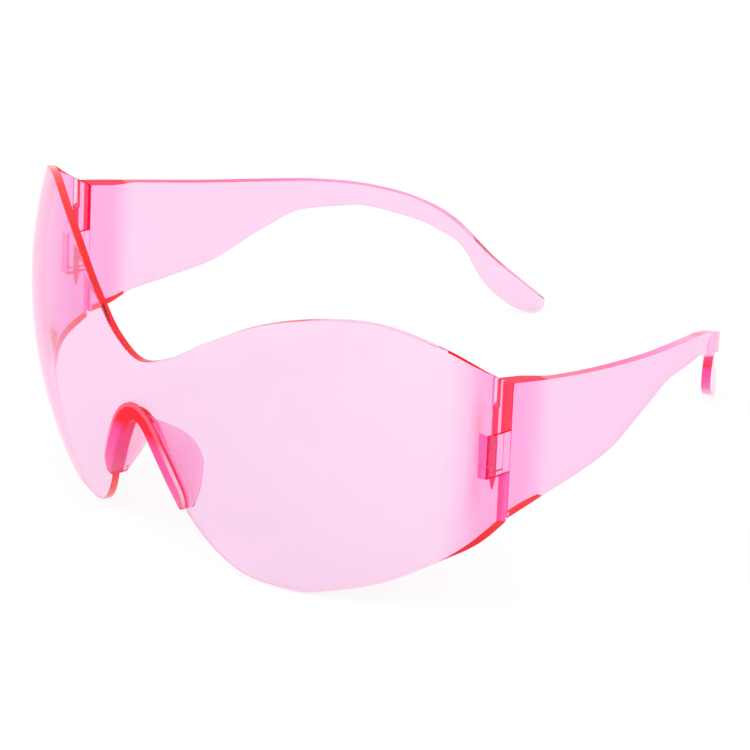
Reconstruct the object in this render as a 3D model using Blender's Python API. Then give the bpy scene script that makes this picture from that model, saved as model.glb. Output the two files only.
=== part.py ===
"""Oversized one-piece shield sunglasses with two folding temples.

Metres, +Z up. The glasses stand on a flat surface, facing -Y, with the wearer's left at +X.
They are drawn upright, with both hinge axes vertical and the origin at the middle of the shield's
front face, and then lean forward until the shield's two lobes and both temple tips touch down.
"""

import bmesh
import bpy
import numpy as np
from math import cos, pi, radians, sin
from mathutils import Matrix, Vector

# Shield, seen from above: a wide front arc, a tight corner and a nearly straight side
FRONT_RADIUS = 0.1085
FRONT_ARC_LENGTH = 0.0767
CORNER_RADIUS = 0.014
CORNER_ARC_LENGTH = 0.013
SIDE_RADIUS = 0.158
SIDE_ARC_LENGTH = 0.0041
CORNER_BLEND_LENGTH = 0.0025

# Shield, seen from the side: a gentle dome that flattens towards the hinges
DOME_RADIUS = 0.100
DOME_FADE = 0.011
DOME_FLAT = 0.005
END_DRAW_IN = 0.0012

# Shield outline and walls
BROW_HEIGHT = 0.0272
LOBE_DEPTH = 0.0396
SHIELD_THICKNESS = 0.0018
HINGE_THICKNESS = 0.0042
HINGE_PAD_LENGTH = 0.0025
HINGE_PAD_RAMP = 0.017
END_CHAMFER_LENGTH = 0.0006
END_CHAMFER_DEPTH = 0.0012
SHIELD_EDGE = 0.00035

# Height of the brow line, at shares of the way from the middle to the hinge end
BROW_PLACE_SHARES = (0.0, 0.09, 0.20, 0.34, 0.48, 0.62, 0.78, 1.0)
BROW_SHARES = (0.203, 0.305, 0.542, 0.797, 0.943, 1.0, 0.902, 0.555)

# Depth of the lower line: nose notch, lobe and the rise to the hinge end
NOTCH_PLACE_SHARES = (0.0, 0.021, 0.044, 0.069, 0.097, 0.122, 0.143, 0.173)
NOTCH_SHARES = (0.185, 0.199, 0.250, 0.343, 0.458, 0.578, 0.684, 0.782)
LOBE_PLACE_SHARES = (0.234, 0.32, 0.43, 0.55, 0.67, 0.82, 1.0)
LOBE_SHARES = (0.912, 0.989, 0.999, 0.927, 0.822, 0.627, 0.424)

# Temples
TEMPLE_LENGTH = 0.1169
TEMPLE_THICKNESS = 0.0021
TEMPLE_HEIGHT = 0.031
TEMPLE_PAD_LENGTH = 0.0053
TEMPLE_PAD_RAMP = 0.009
TEMPLE_EDGE = 0.0005
TIP_ROUNDING = 0.0033
TIP_HEIGHT_SHARE = 0.15
TIP_WALL_SHARE = 0.5

# How far the temple has turned inwards, in degrees beyond the end of the shield
TEMPLE_TURN_PLACE_SHARES = (0.0, 0.2, 0.4, 0.6, 0.72, 0.82, 0.88, 0.94, 1.0)
TEMPLE_TURN_DEGREES = (0.0, 6.1, 9.9, 21.3, 28.7, 52.0, 41.0, 34.0, 32.0)

# Upper and lower lines of the temple, as shares of the height of its front end
TEMPLE_TOP_PLACE_SHARES = (0.0, 0.12, 0.25, 0.4, 0.52, 0.64, 0.74, 0.82, 0.9, 1.0)
TEMPLE_TOP_SHARES = (0.484, 0.403, 0.323, 0.25, 0.2, 0.123, 0.003, -0.149, -0.428, -0.738)
TEMPLE_LOW_PLACE_SHARES = (0.0, 0.1, 0.2, 0.3, 0.4, 0.5, 0.6, 0.7, 0.78, 0.84, 0.87, 0.92, 1.0)
TEMPLE_LOW_SHARES = (
    -0.516, -0.442, -0.387, -0.31, -0.137, -0.01, -0.012, -0.106, -0.217, -0.358, -0.558, -0.751, -0.862,
)

# Hinges: the axis, the slot in the shield and the knuckle of the temple that fills it
AXIS_SETBACK = 0.0032
AXIS_DEPTH = 0.0026
JOINT_GAP = 0.00035
SLOT_TOP = 0.0046
SLOT_BOTTOM = -0.0055
SLOT_REACH = 0.0032
KNUCKLE_REACH = 0.0025
KNUCKLE_ROUNDING_SHARE = 0.7
KNUCKLE_GAP = 0.00025
KNUCKLE_INSET = 0.00015
KNUCKLE_ROOT = 0.0014

# Hinge screws
SCREW_HEAD_TOP = 0.0108
SCREW_HEAD_HEIGHT = 0.0008
SCREW_HEAD_RADIUS = 0.00092
SCREW_SHANK_RADIUS = 0.00068
SCREW_LENGTH = 0.0194
SCREW_POINT_LENGTH = 0.0023
SCREW_POINT_RADIUS = 0.0001
SCREW_SLOT_WIDTH = 0.0003
SCREW_SLOT_DEPTH = 0.0003
SCREW_GAP = 0.0001
PILOT_EXTRA_DEPTH = 0.0005

# Nose piece: a saddle clipped over the notch edge, with a pad behind each leg
SADDLE_LEG_LENGTH = 0.0234
SADDLE_GAP = 0.0003
SADDLE_WALL = 0.0010
SADDLE_GRIP = 0.0028
SADDLE_REAR_GRIP = 0.0015
SADDLE_FRONT_LIP = 0.0008
SADDLE_REAR_LIP = 0.0009
SADDLE_EDGE = 0.0004
PAD_REACH = 0.0104
PAD_THICKNESS = 0.0021
PAD_RIM_THICKNESS = 0.0013
PAD_FLARE_SHARE = 0.27

# Reach of the pad and width of the grip, at shares of the way down a leg
PAD_PLACE_SHARES = (0.0, 0.12, 0.22, 0.32, 0.42, 0.58, 0.74, 0.87, 0.95, 1.0)
PAD_REACH_SHARES = (0.34, 0.40, 0.63, 0.84, 0.96, 1.0, 0.84, 0.64, 0.46, 0.34)
GRIP_PLACE_SHARES = (0.0, 0.8, 0.93, 1.0)
GRIP_SHARES = (1.0, 1.0, 0.75, 0.40)
WALL_PLACE_SHARES = (0.0, 0.65, 1.0)
WALL_SHARES = (1.0, 1.0, 0.6)

# Flat left on each of the four places that touch down
FOOT_FLAT_DEPTH = 0.00015

# Mesh fineness
SHIELD_COLUMNS = (13, 15, 13)
SHIELD_ROWS = 7
TEMPLE_STATIONS = 56
TIP_STATIONS = 4
SADDLE_STATIONS = 41
SCREW_SIDES = 20
BORE_SIDES = 24
KNUCKLE_STEPS = 12
PLAN_STEPS = 400
CUT_OVERRUN = 0.002

PINK = (0.98, 0.42, 0.72, 1.0)
CLEAR_PINK = (0.99, 0.62, 0.82, 1.0)
STEEL = (0.62, 0.50, 0.55, 1.0)


def curve_through(places, values, at):
    """Smooth curve through chosen points, without overshoot, read at the given places."""
    places = np.asarray(places, float)
    values = np.asarray(values, float)
    at = np.asarray(at, float)
    gaps = np.diff(places)
    slopes = np.diff(values) / gaps
    tangents = np.empty(len(places))
    tangents[1:-1] = (slopes[:-1] * gaps[1:] + slopes[1:] * gaps[:-1]) / (gaps[:-1] + gaps[1:])
    steepest = 3 * np.minimum(abs(slopes[:-1]), abs(slopes[1:]))
    turning = slopes[:-1] * slopes[1:] <= 0
    tangents[1:-1] = np.where(turning, 0, np.clip(tangents[1:-1], -steepest, steepest))
    tangents[0] = 1.5 * slopes[0] - 0.5 * tangents[1]
    tangents[-1] = 1.5 * slopes[-1] - 0.5 * tangents[-2]
    i = np.clip(np.searchsorted(places, at, side="right") - 1, 0, len(gaps) - 1)
    t = (at - places[i]) / gaps[i]
    return (
        (1 + 2 * t) * (1 - t) ** 2 * values[i]
        + t * (1 - t) ** 2 * gaps[i] * tangents[i]
        + t * t * (3 - 2 * t) * values[i + 1]
        + t * t * (t - 1) * gaps[i] * tangents[i + 1]
    )


def ease(share):
    """Goes from 0 to 1 with a level start and end."""
    share = np.clip(share, 0.0, 1.0)
    return share * share * (3 - 2 * share)


def walk(arcs, headings, start):
    """Places along a path in plan, from its headings."""
    steps = np.diff(arcs)
    along_x = (np.cos(headings[1:]) + np.cos(headings[:-1])) / 2 * steps
    along_y = (np.sin(headings[1:]) + np.sin(headings[:-1])) / 2 * steps
    x = start[0] + np.concatenate(([0.0], np.cumsum(along_x)))
    y = start[1] + np.concatenate(([0.0], np.cumsum(along_y)))
    return x, y


# The shield's surface

HALF_ARC = FRONT_ARC_LENGTH + CORNER_ARC_LENGTH + SIDE_ARC_LENGTH


def shield_plan():
    """Arc lengths, places and headings of the shield's outer face, from its middle to one end."""
    arcs = np.linspace(0.0, HALF_ARC, PLAN_STEPS)
    into_corner = 1 / (1 + np.exp((FRONT_ARC_LENGTH - arcs) / CORNER_BLEND_LENGTH))
    into_side = 1 / (1 + np.exp((FRONT_ARC_LENGTH + CORNER_ARC_LENGTH - arcs) / CORNER_BLEND_LENGTH))
    bends = (
        (1 - into_corner) / FRONT_RADIUS
        + into_corner * (1 - into_side) / CORNER_RADIUS
        + into_side / SIDE_RADIUS
    )
    turned = np.concatenate(([0.0], np.cumsum((bends[1:] + bends[:-1]) / 2 * np.diff(arcs))))
    x, y = walk(arcs, turned, (0.0, 0.0))
    return arcs, x, y, turned


PLAN_ARCS, PLAN_X, PLAN_Y, PLAN_TURNED = shield_plan()


def shield_point(arc, height, depth):
    """A point of the shield: arc from its middle (left positive), height, depth behind the outer face."""
    away = abs(arc)
    side = 1.0 if arc >= 0 else -1.0
    turned = np.interp(away, PLAN_ARCS, PLAN_TURNED)
    dome = DOME_RADIUS - np.sqrt(DOME_RADIUS**2 - height**2)
    flat = ease((away - (HALF_ARC - DOME_FLAT - DOME_FADE)) / DOME_FADE)
    inward = depth + dome * (1 - flat) + END_DRAW_IN * flat
    x = np.interp(away, PLAN_ARCS, PLAN_X) - inward * sin(turned)
    y = np.interp(away, PLAN_ARCS, PLAN_Y) + inward * cos(turned)
    return Vector((side * x, y, height))


def even_curve(places, values, at):
    """The curve through points that are given for the left half and repeated on the right."""
    both_places = [-place for place in places[:0:-1]] + list(places)
    both_values = list(values[:0:-1]) + list(values)
    return float(curve_through(both_places, both_values, at))


def brow_line(arc):
    return BROW_HEIGHT * even_curve(BROW_PLACE_SHARES, BROW_SHARES, arc / HALF_ARC)


def lower_line(arc):
    places = NOTCH_PLACE_SHARES + LOBE_PLACE_SHARES
    return -LOBE_DEPTH * even_curve(places, NOTCH_SHARES + LOBE_SHARES, arc / HALF_ARC)


def shield_wall(arc):
    """Thickness: even over the front, thick at the hinge ends, whose inner corner is cut back."""
    away = abs(arc)
    grown = ease((away - (HALF_ARC - HINGE_PAD_LENGTH - HINGE_PAD_RAMP)) / HINGE_PAD_RAMP)
    wall = SHIELD_THICKNESS + (HINGE_THICKNESS - SHIELD_THICKNESS) * float(grown)
    into_chamfer = max(0.0, away - (HALF_ARC - END_CHAMFER_LENGTH))
    return wall - into_chamfer * END_CHAMFER_DEPTH / END_CHAMFER_LENGTH


# The hinge's place, on the left side

END_TURN = float(PLAN_TURNED[-1])
END_BACK = Vector((cos(END_TURN), sin(END_TURN), 0.0))
END_INWARD = Vector((-sin(END_TURN), cos(END_TURN), 0.0))
END_FACE = shield_point(HALF_ARC, 0.0, 0.0)
AXIS_PLACE = END_FACE - END_BACK * AXIS_SETBACK + END_INWARD * AXIS_DEPTH


def hinge_frame():
    """Turns hinge places (towards the back, inwards, up) from the axis into upright places."""
    frame = Matrix((END_BACK, END_INWARD, Vector((0.0, 0.0, 1.0)))).transposed().to_4x4()
    frame.translation = AXIS_PLACE
    return frame


# Rings and the solids that join them


def wall_ring(wall, low, high, edge, rows):
    """A wall's upright section as (depth, height) pairs, with its four corners rounded."""
    radius = min(edge, wall / 2.5, (high - low) / 2.5)
    part = radius * (1 - cos(pi / 4))
    heights = np.linspace(low + radius, high - radius, rows + 1)
    ring = [(0.0, float(h)) for h in heights]
    ring += [(part, high - part), (radius, high), (wall - radius, high), (wall - part, high - part)]
    ring += [(wall, float(h)) for h in heights[::-1]]
    ring += [(wall - part, low + part), (wall - radius, low), (radius, low), (part, low + part)]
    return ring


def loft(rings):
    """One closed body through rings of equal count."""
    bm = bmesh.new()
    loops = [[bm.verts.new(point) for point in ring] for ring in rings]
    count = len(rings[0])
    for near, far in zip(loops, loops[1:]):
        for i in range(count):
            j = (i + 1) % count
            bm.faces.new((near[i], near[j], far[j], far[i]))
    bm.faces.new(loops[0])
    bm.faces.new(loops[-1])
    bmesh.ops.recalc_face_normals(bm, faces=bm.faces)
    return bm


def turned_body(profile, sides):
    """A round body about the upright axis, from (radius, height) pairs."""
    angles = [2 * pi * k / sides for k in range(sides)]
    return loft([[Vector((r * cos(a), r * sin(a), h)) for a in angles] for r, h in profile])


# Points of each piece, on the left or for the whole


def shield_rings():
    nose, front, corner = SHIELD_COLUMNS
    nose_end = LOBE_PLACE_SHARES[0] * HALF_ARC
    front_end = FRONT_ARC_LENGTH - CORNER_BLEND_LENGTH
    side = np.concatenate(
        (
            np.linspace(0.0, nose_end, nose + 1),
            np.linspace(nose_end, front_end, front + 1)[1:],
            np.linspace(front_end, HALF_ARC - END_CHAMFER_LENGTH, corner + 1)[1:],
            [HALF_ARC],
        )
    )
    rings = []
    for arc in np.concatenate((-side[:0:-1], side)):
        section = wall_ring(shield_wall(arc), lower_line(arc), brow_line(arc), SHIELD_EDGE, SHIELD_ROWS)
        rings.append([shield_point(arc, height, depth) for depth, height in section])
    return rings


def temple_rings():
    """The left temple, from its front face to its tip, about the upright origin."""
    rounded_from = TEMPLE_LENGTH - TIP_ROUNDING
    arcs = np.concatenate(
        (
            np.linspace(0.0, rounded_from, TEMPLE_STATIONS - TIP_STATIONS),
            rounded_from + TIP_ROUNDING * np.sin(np.linspace(0.0, pi / 2, TIP_STATIONS + 1)[1:]),
        )
    )
    shares = arcs / TEMPLE_LENGTH
    turns = np.radians(curve_through(TEMPLE_TURN_PLACE_SHARES, TEMPLE_TURN_DEGREES, shares))
    headings = END_TURN + turns
    start = END_FACE + END_BACK * JOINT_GAP
    x, y = walk(arcs, headings, start)
    tops = TEMPLE_HEIGHT * curve_through(TEMPLE_TOP_PLACE_SHARES, TEMPLE_TOP_SHARES, shares)
    lows = TEMPLE_HEIGHT * curve_through(TEMPLE_LOW_PLACE_SHARES, TEMPLE_LOW_SHARES, shares)
    thinned = ease((arcs - TEMPLE_PAD_LENGTH) / TEMPLE_PAD_RAMP)
    walls = HINGE_THICKNESS + (TEMPLE_THICKNESS - HINGE_THICKNESS) * thinned
    to_tip = np.clip((arcs - rounded_from) / TIP_ROUNDING, 0.0, 1.0)
    rings = []
    for k in range(TEMPLE_STATIONS):
        drawn_in = 1 - np.sqrt(1 - to_tip[k] ** 2)
        low = lows[k] + (tops[k] - lows[k]) * (1 - TIP_HEIGHT_SHARE) * drawn_in
        wall = walls[k] * (1 - (1 - TIP_WALL_SHARE) * drawn_in)
        skin = (walls[k] - wall) / 2
        inward = Vector((-sin(headings[k]), cos(headings[k]), 0.0))
        ring = []
        for depth, height in wall_ring(wall, low, tops[k], TEMPLE_EDGE, 1):
            ring.append(Vector((x[k], y[k], height)) + inward * (skin + depth))
        rings.append(ring)
    return rings


def knuckle_rings():
    """The temple's knuckle in hinge places: flat-sided, with a round nose ahead of the axis."""
    outer = -(AXIS_DEPTH - KNUCKLE_INSET)
    inner = HINGE_THICKNESS - AXIS_DEPTH - KNUCKLE_INSET
    middle = (outer + inner) / 2
    half = (inner - outer) / 2
    root = AXIS_SETBACK + JOINT_GAP + KNUCKLE_ROOT
    outline = [(root, outer)]
    for k in range(KNUCKLE_STEPS + 1):
        angle = pi * k / KNUCKLE_STEPS
        ahead = sin(angle) ** KNUCKLE_ROUNDING_SHARE if 0 < k < KNUCKLE_STEPS else 0.0
        across = abs(cos(angle)) ** KNUCKLE_ROUNDING_SHARE
        outline.append((-KNUCKLE_REACH * ahead, middle - half * across * np.sign(cos(angle))))
    outline.append((root, inner))
    heights = (SLOT_BOTTOM + KNUCKLE_GAP, SLOT_TOP - KNUCKLE_GAP)
    return [[Vector((b, i, h)) for b, i in outline] for h in heights]


def saddle_section(share):
    """The nose piece's section as (towards the shield, depth) pairs, with the slot for the shield's edge."""
    narrowed = float(curve_through(GRIP_PLACE_SHARES, GRIP_SHARES, share))
    grip = SADDLE_GRIP * narrowed
    rear_grip = SADDLE_REAR_GRIP * narrowed
    reach = PAD_REACH * float(curve_through(PAD_PLACE_SHARES, PAD_REACH_SHARES, share))
    front = -SADDLE_GAP - SADDLE_FRONT_LIP
    slot_rear = SHIELD_THICKNESS + SADDLE_GAP
    rear = slot_rear + SADDLE_REAR_LIP
    wall = SADDLE_WALL * float(curve_through(WALL_PLACE_SHARES, WALL_SHARES, share))
    nose_side = -SADDLE_GAP - wall
    edge = SADDLE_EDGE
    root = nose_side + PAD_THICKNESS
    rim_lean = PAD_FLARE_SHARE * (reach - slot_rear)
    rim_nose = nose_side + rim_lean
    rim_far = rim_nose + PAD_RIM_THICKNESS
    halfway = (rear + reach) / 2
    return [
        (nose_side, front + 2 * edge),
        (nose_side + edge / 3, front + edge / 2),
        (nose_side + edge, front),
        (grip - edge, front),
        (grip - edge / 3, front + edge / 3),
        (grip, front + edge),
        (grip, -SADDLE_GAP),
        (-SADDLE_GAP, -SADDLE_GAP),
        (-SADDLE_GAP, slot_rear),
        (rear_grip, slot_rear),
        (rear_grip, rear - edge),
        (rear_grip - edge / 2, rear),
        (min(root, rear_grip - edge), rear + edge / 4),
        ((root + rim_far) / 2, halfway),
        (rim_far, reach - edge),
        (rim_far - edge, reach),
        (rim_nose + edge, reach),
        (rim_nose, reach - edge),
        ((nose_side + rim_nose) / 2, halfway),
        (nose_side, slot_rear),
    ]


def notch_path():
    """Points (arc, height) down the left edge of the nose notch, with the direction into the shield."""
    arcs = np.linspace(0.0, HALF_ARC * LOBE_PLACE_SHARES[0], PLAN_STEPS)
    heights = np.array([lower_line(a) for a in arcs])
    travelled = np.concatenate(([0.0], np.cumsum(np.hypot(np.diff(arcs), np.diff(heights)))))
    wanted = np.linspace(0.0, SADDLE_LEG_LENGTH, SADDLE_STATIONS // 2 + 1)
    arc = np.interp(wanted, travelled, arcs)
    height = np.interp(wanted, travelled, heights)
    along_arc = np.gradient(arc)
    along_height = np.gradient(height)
    along_height[0] = 0.0
    size = np.hypot(along_arc, along_height)
    return arc, height, -along_height / size, along_arc / size


def saddle_rings():
    arcs, heights, into_arc, into_height = notch_path()
    last = len(arcs) - 1
    rings = []
    for k in range(-last, last + 1):
        n = abs(k)
        side = -1.0 if k < 0 else 1.0
        ring = []
        for across, depth in saddle_section(n / last):
            arc = side * (arcs[n] + across * into_arc[n])
            ring.append(shield_point(arc, heights[n] + across * into_height[n], depth))
        rings.append(ring)
    return rings


def screw_profile():
    top = SCREW_HEAD_TOP
    under = top - SCREW_HEAD_HEIGHT
    end = top - SCREW_LENGTH
    chamfer = SCREW_HEAD_RADIUS - SCREW_SHANK_RADIUS
    return [
        (SCREW_HEAD_RADIUS - chamfer / 2, top),
        (SCREW_HEAD_RADIUS, top - chamfer / 2),
        (SCREW_HEAD_RADIUS, under + chamfer),
        (SCREW_SHANK_RADIUS, under),
        (SCREW_SHANK_RADIUS, end + SCREW_POINT_LENGTH),
        (SCREW_POINT_RADIUS, end),
    ]


def bore_profile():
    """The counterbore for the head and the hole for the shank, in one cutter."""
    shank = SCREW_SHANK_RADIUS + SCREW_GAP
    head = SCREW_HEAD_RADIUS + SCREW_GAP
    seat = SCREW_HEAD_TOP - SCREW_HEAD_HEIGHT - SCREW_GAP
    chamfer = head - shank
    bottom = SCREW_HEAD_TOP - SCREW_LENGTH - PILOT_EXTRA_DEPTH
    return [(head, BROW_HEIGHT), (head, seat + chamfer), (shank, seat), (shank, bottom)]


# Standing


def leaned(points, lean):
    """Depth and height of upright points once the glasses lean forward by an angle."""
    y = points[:, 1] * cos(lean) + points[:, 2] * sin(lean)
    z = points[:, 2] * cos(lean) - points[:, 1] * sin(lean)
    return y, z


def standing(shield_points, temple_points):
    """The lean at which shield and temples touch down together, and the place that goes with it."""
    low, high = 0.0, radians(20)
    for _ in range(60):
        lean = (low + high) / 2
        if leaned(shield_points, lean)[1].min() < leaned(temple_points, lean)[1].min():
            low = lean
        else:
            high = lean
    y, z = leaned(np.concatenate((shield_points, temple_points)), lean)
    place = Vector((0.0, -(y.min() + y.max()) / 2, -z.min() - FOOT_FLAT_DEPTH))
    return Matrix.Translation(place) @ Matrix.Rotation(-lean, 4, "X")


# Objects


def plastic(name, colour, roughness, clear):
    material = bpy.data.materials.new(name)
    material.use_nodes = True
    shader = material.node_tree.nodes["Principled BSDF"]
    shader.inputs["Base Color"].default_value = colour
    shader.inputs["Roughness"].default_value = roughness
    shader.inputs["Metallic"].default_value = 0.0
    shader.inputs["Transmission Weight"].default_value = clear
    return material


def metal(name, colour, roughness):
    material = bpy.data.materials.new(name)
    material.use_nodes = True
    shader = material.node_tree.nodes["Principled BSDF"]
    shader.inputs["Base Color"].default_value = colour
    shader.inputs["Roughness"].default_value = roughness
    shader.inputs["Metallic"].default_value = 1.0
    return material


def add_object(name, bm, parent, material=None):
    mesh = bpy.data.meshes.new(name)
    bm.to_mesh(mesh)
    bm.free()
    if material:
        mesh.materials.append(material)
        mesh.shade_smooth()
        mesh.set_sharp_from_angle(angle=radians(35))
    piece = bpy.data.objects.new(name, mesh)
    bpy.context.scene.collection.objects.link(piece)
    piece.parent = parent
    return piece


def add_cutter(name, bm, parent):
    cutter = add_object(name, bm, parent)
    cutter.hide_render = True
    cutter.display_type = "WIRE"
    return cutter


def add_empty(name, parent, matrix):
    empty = bpy.data.objects.new(name, None)
    bpy.context.scene.collection.objects.link(empty)
    empty.parent = parent
    empty.matrix_local = matrix
    return empty


def combine(piece, tool, operation):
    modifier = piece.modifiers.new(tool.name, "BOOLEAN")
    modifier.operation = operation
    modifier.solver = "EXACT"
    modifier.object = tool


def box(low, high):
    bm = bmesh.new()
    bmesh.ops.create_cube(bm, size=1.0)
    size = Vector(high) - Vector(low)
    bmesh.ops.scale(bm, vec=size, verts=bm.verts)
    bmesh.ops.translate(bm, vec=(Vector(low) + Vector(high)) / 2, verts=bm.verts)
    return bm


def flipped(bm):
    """The same body mirrored to the wearer's right."""
    bmesh.ops.scale(bm, vec=(-1.0, 1.0, 1.0), verts=bm.verts)
    bmesh.ops.reverse_faces(bm, faces=bm.faces)
    return bm


def moved(bm, matrix):
    bmesh.ops.transform(bm, matrix=matrix, verts=bm.verts)
    return bm


def on_side(bm, side):
    return bm if side > 0 else flipped(bm)


def make_foot_cutter():
    """Everything below the surface that the glasses stand on."""
    reach = HALF_ARC + TEMPLE_LENGTH
    return add_cutter("foot_cutter", box((-reach, -reach, -reach), (reach, reach, 0.0)), None)


def make_slot_cutter(name, parent, side):
    reach = AXIS_SETBACK + CUT_OVERRUN
    low = (-SLOT_REACH, -AXIS_DEPTH - CUT_OVERRUN, SLOT_BOTTOM)
    high = (reach, HINGE_THICKNESS - AXIS_DEPTH + CUT_OVERRUN, SLOT_TOP)
    return add_cutter(name, on_side(moved(box(low, high), hinge_frame()), side), parent)


def make_driver_slot_cutter(name, parent):
    across = SCREW_HEAD_RADIUS + CUT_OVERRUN
    low = (-across, -SCREW_SLOT_WIDTH / 2, SCREW_HEAD_TOP - SCREW_SLOT_DEPTH)
    high = (across, SCREW_SLOT_WIDTH / 2, SCREW_HEAD_TOP + CUT_OVERRUN)
    return add_cutter(name, box(low, high), parent)


def main():
    for old in list(bpy.data.objects):
        bpy.data.objects.remove(old, do_unlink=True)

    pink = plastic("pink_plastic", PINK, 0.08, 0.9)
    clear_pink = plastic("clear_pink_plastic", CLEAR_PINK, 0.10, 0.9)
    steel = metal("steel", STEEL, 0.35)

    whole_shield = shield_rings()
    left_temple = temple_rings()
    shield_points = np.array([p for ring in whole_shield for p in ring])
    temple_points = np.array([p for ring in left_temple for p in ring])
    glasses = add_empty("glasses", None, standing(shield_points, temple_points))
    feet = make_foot_cutter()

    shield = add_object("shield_lens", loft(whole_shield), glasses, pink)
    add_object("nose_piece", loft(saddle_rings()), glasses, clear_pink)

    for name, side in (("left", 1.0), ("right", -1.0)):
        axis_place = Vector((side * AXIS_PLACE.x, AXIS_PLACE.y, 0.0))
        axis = add_empty(name + "_hinge_axis", glasses, Matrix.Translation(axis_place))
        to_axis = Matrix.Translation(-AXIS_PLACE)
        arm = on_side(moved(loft(left_temple), to_axis), side)
        temple = add_object(name + "_temple", arm, axis, pink)
        nose = on_side(moved(loft(knuckle_rings()), to_axis @ hinge_frame()), side)
        knuckle = add_cutter(name + "_knuckle", nose, axis)
        bore = add_cutter(name + "_bore_cutter", turned_body(bore_profile(), BORE_SIDES), axis)
        slot = make_slot_cutter(name + "_slot_cutter", glasses, side)
        combine(shield, slot, "DIFFERENCE")
        combine(shield, bore, "DIFFERENCE")
        combine(temple, knuckle, "UNION")
        combine(temple, bore, "DIFFERENCE")
        combine(temple, feet, "DIFFERENCE")

        screw = add_object(name + "_hinge_screw", turned_body(screw_profile(), SCREW_SIDES), axis, steel)
        combine(screw, make_driver_slot_cutter(name + "_driver_slot_cutter", axis), "DIFFERENCE")

    combine(shield, feet, "DIFFERENCE")
    bpy.context.view_layer.update()


main()
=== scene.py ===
from math import copysign, cos, pi, radians, sin

import bmesh
import bpy
import numpy as np
from mathutils import Matrix, Vector


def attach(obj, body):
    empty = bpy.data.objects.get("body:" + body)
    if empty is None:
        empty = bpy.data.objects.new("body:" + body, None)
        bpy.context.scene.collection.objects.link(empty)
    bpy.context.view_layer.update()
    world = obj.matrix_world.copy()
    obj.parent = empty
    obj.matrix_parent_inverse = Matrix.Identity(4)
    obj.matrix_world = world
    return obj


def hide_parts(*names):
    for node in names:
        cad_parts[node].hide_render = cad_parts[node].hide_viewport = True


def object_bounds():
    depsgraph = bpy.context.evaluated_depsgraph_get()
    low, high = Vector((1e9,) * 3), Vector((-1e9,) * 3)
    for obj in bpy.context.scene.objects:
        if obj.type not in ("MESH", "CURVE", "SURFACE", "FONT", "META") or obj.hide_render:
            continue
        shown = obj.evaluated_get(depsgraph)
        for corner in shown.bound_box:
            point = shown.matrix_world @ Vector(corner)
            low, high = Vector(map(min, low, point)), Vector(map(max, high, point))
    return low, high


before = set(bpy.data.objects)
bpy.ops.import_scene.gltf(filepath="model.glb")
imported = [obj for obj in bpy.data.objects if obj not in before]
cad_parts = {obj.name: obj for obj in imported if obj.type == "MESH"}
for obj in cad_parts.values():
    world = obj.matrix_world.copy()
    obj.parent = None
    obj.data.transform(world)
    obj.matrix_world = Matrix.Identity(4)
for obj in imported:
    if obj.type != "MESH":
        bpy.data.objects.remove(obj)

cad_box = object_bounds()

# Lengths are in metres, and the pieces are made upright before they lean as the glasses stand

# Shield: plan, dome, walls and outline
FRONT_RADIUS = 0.1085
FRONT_ARC_LENGTH = 0.0767
CORNER_RADIUS = 0.014
CORNER_ARC_LENGTH = 0.013
SIDE_RADIUS = 0.158
SIDE_ARC_LENGTH = 0.0041
CORNER_BLEND_LENGTH = 0.0025
HALF_ARC = FRONT_ARC_LENGTH + CORNER_ARC_LENGTH + SIDE_ARC_LENGTH
DOME_RADIUS = 0.100
DOME_FADE = 0.011
DOME_FLAT = 0.005
END_DRAW_IN = 0.0012
BROW_HEIGHT = 0.0272
LOBE_DEPTH = 0.0396
SHIELD_THICKNESS = 0.0018
HINGE_THICKNESS = 0.0042
HINGE_PAD_LENGTH = 0.0025
HINGE_PAD_RAMP = 0.017
END_CHAMFER_LENGTH = 0.0006
END_CHAMFER_DEPTH = 0.0012
SHIELD_EDGE = 0.0008
NOTCH_END_SHARE = 0.234
BROW_PLACES = (0.0, 0.09, 0.20, 0.34, 0.48, 0.62, 0.78, 1.0)
BROW_LEVELS = (0.203, 0.305, 0.542, 0.797, 0.943, 1.0, 0.902, 0.555)
LOWER_PLACES = (
    0.0, 0.021, 0.044, 0.069, 0.097, 0.122, 0.143, 0.173,
    NOTCH_END_SHARE, 0.32, 0.43, 0.55, 0.67, 0.82, 1.0,
)
LOWER_LEVELS = (
    0.185, 0.199, 0.250, 0.343, 0.458, 0.578, 0.684, 0.782, 0.912, 0.989, 0.999, 0.927, 0.822, 0.627, 0.424,
)

# Temples
TEMPLE_LENGTH = 0.1169
TEMPLE_THICKNESS = 0.0021
TEMPLE_HEIGHT = 0.031
TEMPLE_PAD_LENGTH = 0.0053
TEMPLE_PAD_RAMP = 0.009
TEMPLE_EDGE = 0.0008
TIP_ROUNDING = 0.0033
TIP_HEIGHT_SHARE = 0.15
TIP_WALL_SHARE = 0.5
TURN_PLACES = (0.0, 0.2, 0.4, 0.6, 0.72, 0.82, 0.88, 0.94, 1.0)
TURN_DEGREES = (0.0, 6.1, 9.9, 21.3, 28.7, 52.0, 41.0, 34.0, 32.0)
TOP_PLACES = (0.0, 0.12, 0.25, 0.4, 0.52, 0.64, 0.74, 0.82, 0.9, 1.0)
TOP_LEVELS = (0.484, 0.403, 0.323, 0.25, 0.2, 0.123, 0.003, -0.149, -0.428, -0.738)
LOW_PLACES = (0.0, 0.1, 0.2, 0.3, 0.4, 0.5, 0.6, 0.7, 0.78, 0.84, 0.87, 0.92, 1.0)
LOW_LEVELS = (
    -0.516, -0.442, -0.387, -0.31, -0.137, -0.01, -0.012, -0.106, -0.217, -0.358, -0.558, -0.751, -0.862,
)

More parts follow.
